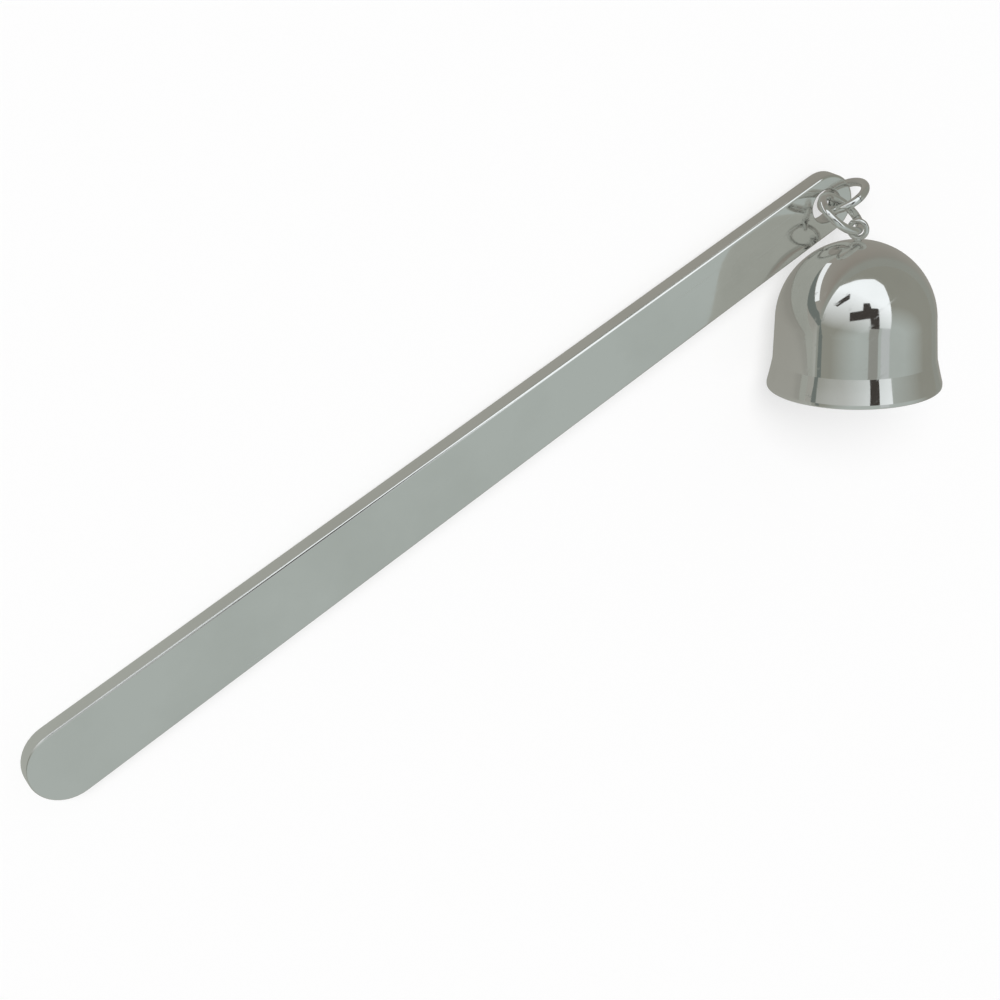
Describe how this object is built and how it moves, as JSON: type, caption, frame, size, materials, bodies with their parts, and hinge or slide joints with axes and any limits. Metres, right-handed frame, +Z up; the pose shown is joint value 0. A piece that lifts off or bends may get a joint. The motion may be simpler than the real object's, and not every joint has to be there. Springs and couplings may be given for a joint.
{
  "type": "candle snuffer",
  "caption": "Polished metal candle snuffer: a hollow bell hangs by wire rings from the holed end of a flat tapered handle and covers a candle flame.",
  "frame": {"origin": "point on the surface the snuffer lies on, under the middle of the whole snuffer", "axes": "+X from the ring end to the grip end, +Z up from the surface the snuffer lies on, +Y to the side where the bell lies"},
  "size_m": [0.1588, 0.0376, 0.0279],
  "materials": {
    "bar_chrome": "polished",
    "wire_chrome": "polished",
    "bell_chrome": "polished"
  },
  "bodies": {
    "handle": {"handle_bar": "bar_chrome"},
    "upper_ring": {"upper_link_ring": "wire_chrome"},
    "lower_ring": {"lower_link_ring": "wire_chrome"},
    "bell": {"bell_cup": "bell_chrome", "crown_eye": "wire_chrome", "eye_washer": "wire_chrome"}
  },
  "joints": [
    {"name": "handle_hinge", "type": "hinge", "parent": "handle", "child": "upper_ring", "pos_m": [-0.07131, -0.01285, 0.0036], "axis": [0.0138, 0, 0.9999], "range_deg": [0, 120]},
    {"name": "link_hinge", "type": "hinge", "parent": "upper_ring", "child": "lower_ring", "pos_m": [-0.07251, -0.01241, 0.00743], "axis": [-0.7402, -0.1263, 0.6604], "range_deg": [0, 30]},
    {"name": "bell_hinge", "type": "hinge", "parent": "lower_ring", "child": "bell", "pos_m": [-0.07144, -0.01008, 0.01143], "axis": [0.7642, -0.3589, 0.5358], "range_deg": [0, 105]}
  ]
}
